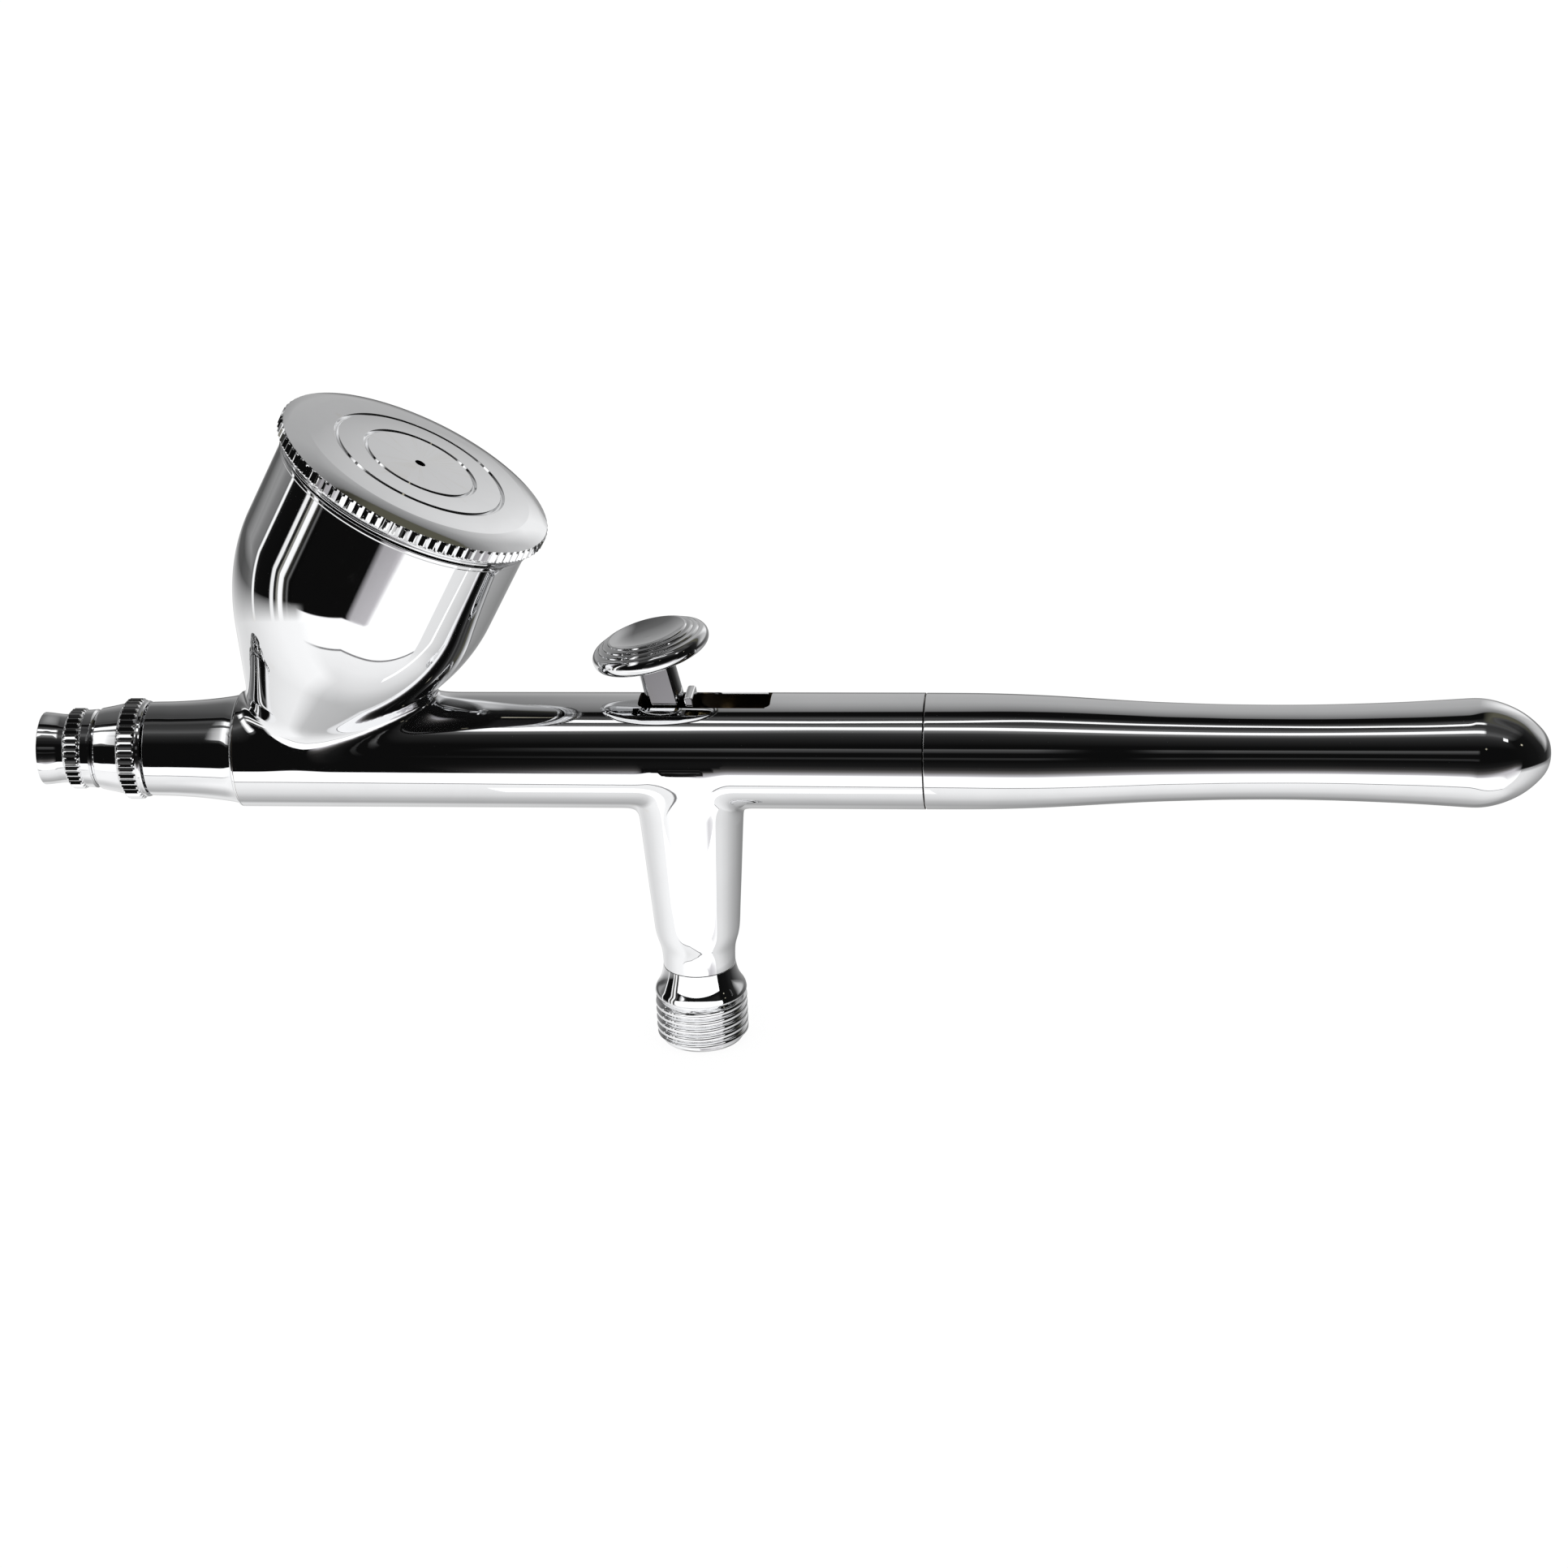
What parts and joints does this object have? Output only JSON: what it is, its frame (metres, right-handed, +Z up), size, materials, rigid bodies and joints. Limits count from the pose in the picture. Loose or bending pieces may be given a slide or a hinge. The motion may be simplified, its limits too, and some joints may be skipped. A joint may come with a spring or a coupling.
{
  "type": "airbrush gun",
  "caption": "Double-action gravity-feed airbrush with a tilted paint cup, dished finger button, polished handle and threaded air inlet.",
  "frame": {"origin": "middle of the footprint rectangle, level with the end face of the air inlet", "axes": "+X along the barrel axis from the nozzle towards the handle, +Z up from the air inlet towards the paint cup, XZ is the plane of symmetry"},
  "size_m": [0.156, 0.0294, 0.0706],
  "materials": {
    "chrome_plate": "mirror-polished chrome plate on brass",
    "bright_steel": "ground stainless steel",
    "brass": "turned brass",
    "spring_wire": "drawn spring wire",
    "ptfe": "machined PTFE",
    "rubber": "moulded nitrile rubber"
  },
  "bodies": {
    "barrel_group": {"body": "chrome_plate", "nozzle": "bright_steel", "nozzle_seal": "ptfe", "needle_packing": "ptfe", "needle_packing_screw": "brass", "spring_case": "brass", "needle_spring": "spring_wire", "piston_o_ring": "rubber", "valve_guide_screw": "brass", "air_valve_spring": "spring_wire", "air_inlet": "chrome_plate"},
    "nozzle_cap_group": {"nozzle_cap": "chrome_plate"},
    "needle_cap_group": {"needle_cap": "chrome_plate"},
    "lid_group": {"cup_lid": "chrome_plate"},
    "handle_group": {"handle": "chrome_plate"},
    "piston_group": {"valve_piston": "bright_steel"},
    "trigger_group": {"trigger_lever": "chrome_plate", "trigger_button": "chrome_plate"},
    "auxiliary_lever_group": {"auxiliary_lever": "chrome_plate"},
    "needle_carriage": {"needle": "bright_steel", "needle_chucking_guide": "brass"},
    "chucking_nut_group": {"needle_chucking_nut": "brass"},
    "air_valve_group": {"air_valve": "brass", "air_valve_o_ring": "rubber"}
  },
  "joints": [
    {"name": "trigger_press", "type": "slide", "parent": "barrel_group", "child": "piston_group", "axis": [0, 0, -1], "range_m": [0, 0.002]},
    {"name": "trigger_pull", "type": "hinge", "parent": "piston_group", "child": "trigger_group", "pos_m": [-0.00983, 0, 0.031], "axis": [0, 1, 0], "range_deg": [0, 25]},
    {"name": "auxiliary_lever_swing", "type": "hinge", "parent": "barrel_group", "child": "auxiliary_lever_group", "pos_m": [-0.00743, 0, 0.0307], "axis": [0, 1, 0], "range_deg": [0, 27.01]},
    {"name": "needle_draw", "type": "slide", "parent": "barrel_group", "child": "needle_carriage", "axis": [1, 0, 0], "range_m": [0, 0.00246], "deforming": ["needle_spring"]},
    {"name": "air_valve_open", "type": "slide", "parent": "barrel_group", "child": "air_valve_group", "axis": [0, 0, -1], "range_m": [0, 0.002], "deforming": ["air_valve_spring"]},
    {"name": "chucking_nut_turn", "type": "hinge", "parent": "needle_carriage", "child": "chucking_nut_group", "pos_m": [0.04118, 0, 0.033], "axis": [1, 0, 0], "continuous": true},
    {"name": "lid_lift", "type": "slide", "parent": "barrel_group", "child": "lid_group", "axis": [0.4787, 0, 0.878], "range_m": [0, 0.03]},
    {"name": "handle_off", "type": "slide", "parent": "barrel_group", "child": "handle_group", "axis": [1, 0, 0], "range_m": [0, 0.045]},
    {"name": "nozzle_cap_off", "type": "slide", "parent": "barrel_group", "child": "nozzle_cap_group", "axis": [-1, 0, 0], "range_m": [0, 0.012]},
    {"name": "needle_cap_off", "type": "slide", "parent": "nozzle_cap_group", "child": "needle_cap_group", "axis": [-1, 0, 0], "range_m": [0, 0.008]}
  ],
  "couplings": [
    {"joint": "auxiliary_lever_swing", "follows": "trigger_pull", "ratio": 1.08},
    {"joint": "needle_draw", "follows": "trigger_pull", "m_per_rad": 0.005615},
    {"joint": "air_valve_open", "follows": "trigger_press", "ratio": 1}
  ]
}
